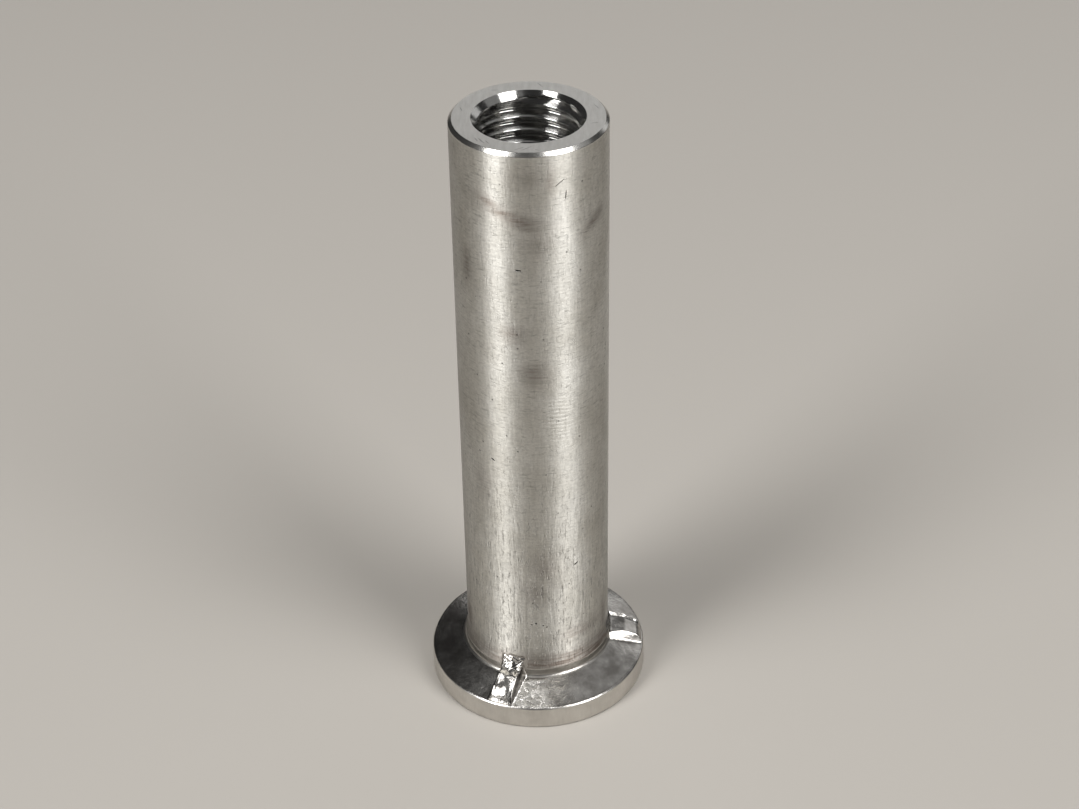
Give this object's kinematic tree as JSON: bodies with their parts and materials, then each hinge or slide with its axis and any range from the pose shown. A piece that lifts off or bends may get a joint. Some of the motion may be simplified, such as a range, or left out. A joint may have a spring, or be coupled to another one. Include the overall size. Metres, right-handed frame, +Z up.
{
  "type": "cast-in ferrule",
  "caption": "Cast-in ferrule: a round barrel with a threaded socket in its top face and a wider ribbed foot that anchors it in concrete.",
  "frame": {"origin": "centre of the foot's flat underside", "axes": "+Z up the barrel's axis, out of the socket's mouth; +X and +Y are level, with one rib of the foot just anticlockwise of +X"},
  "size_m": [0.034, 0.034, 0.096],
  "materials": {
    "stainless": "tumbled satin stainless steel, turned barrel and as-forged foot"
  },
  "bodies": {
    "root": {"ferrule": "stainless"}
  },
  "joints": []
}
